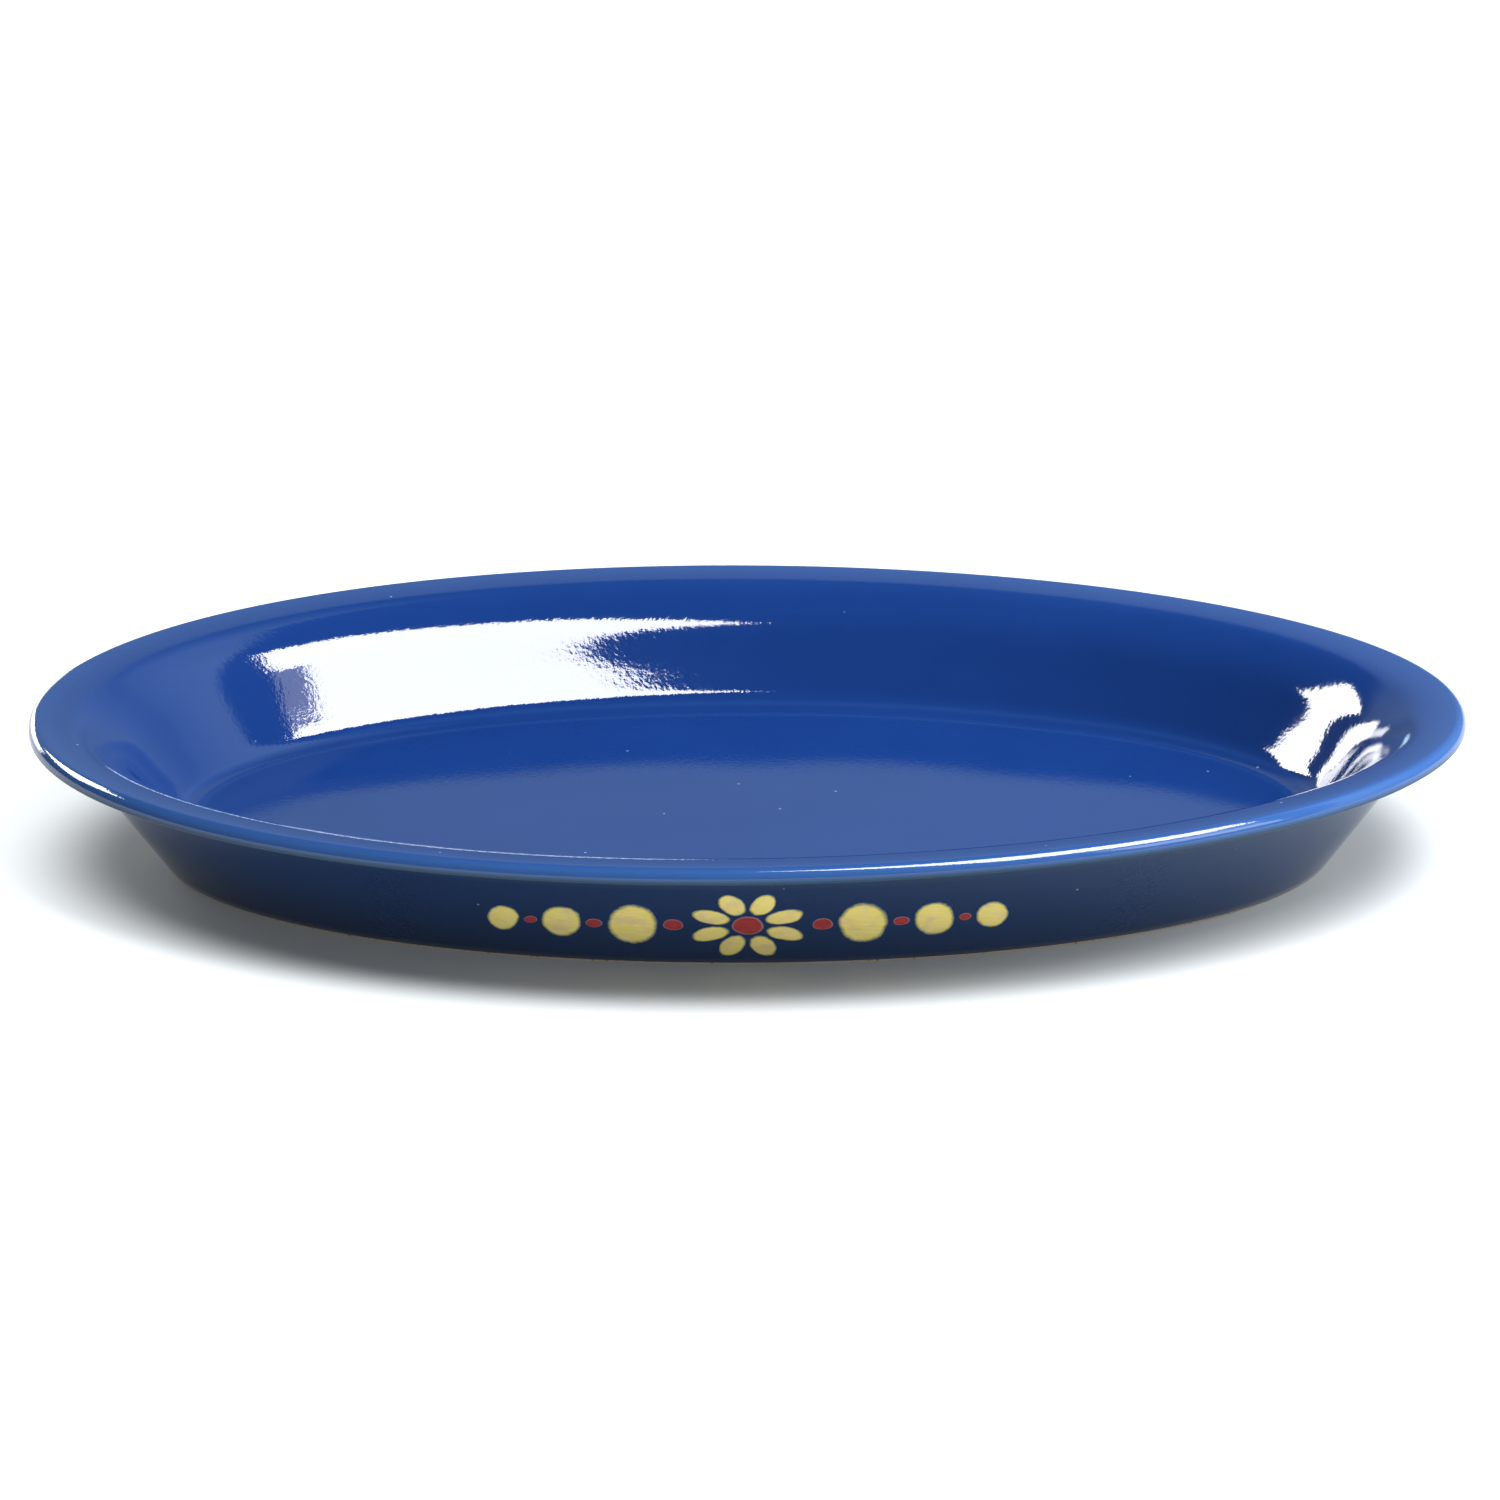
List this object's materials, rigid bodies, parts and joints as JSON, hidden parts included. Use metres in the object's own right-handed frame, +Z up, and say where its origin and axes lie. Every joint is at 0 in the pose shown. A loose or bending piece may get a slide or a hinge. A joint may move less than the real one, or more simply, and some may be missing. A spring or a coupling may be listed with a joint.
{
  "type": "oval baking dish",
  "caption": "Shallow oval baking dish in thick stoneware with a flared rim, sloping walls, a flat floor and a low foot ring, glossy cobalt-blue glaze, small painted ornament on one long side.",
  "frame": {"origin": "middle of the plane that the foot ring stands on", "axes": "+X along the length of the oval, -Y the painted long side that faces the camera in the picture, +Z up"},
  "size_m": [0.35, 0.22, 0.0365],
  "materials": {
    "bare_clay": "unglazed fired stoneware, matt and slightly sandy",
    "blue_glaze": "glossy cobalt-blue glaze, thinner and lighter on the lip",
    "yellow_paint": "brushed yellow in-glaze colour, glossy",
    "red_paint": "brushed brick-red in-glaze colour, glossy"
  },
  "bodies": {
    "root": {"clay_body": "bare_clay", "glaze_coat": "blue_glaze", "base_glaze": "blue_glaze", "daisy_eye": "red_paint", "petal_1": "yellow_paint", "petal_2": "yellow_paint", "petal_3": "yellow_paint", "petal_4": "yellow_paint", "petal_5": "yellow_paint", "petal_6": "yellow_paint", "petal_7": "yellow_paint", "petal_8": "yellow_paint", "left_dot_1": "red_paint", "left_bead_1": "yellow_paint", "left_dot_2": "red_paint", "left_bead_2": "yellow_paint", "left_dot_3": "red_paint", "left_bead_3": "yellow_paint", "right_dot_1": "red_paint", "right_bead_1": "yellow_paint", "right_dot_2": "red_paint", "right_bead_2": "yellow_paint", "right_dot_3": "red_paint", "right_bead_3": "yellow_paint"}
  },
  "joints": []
}
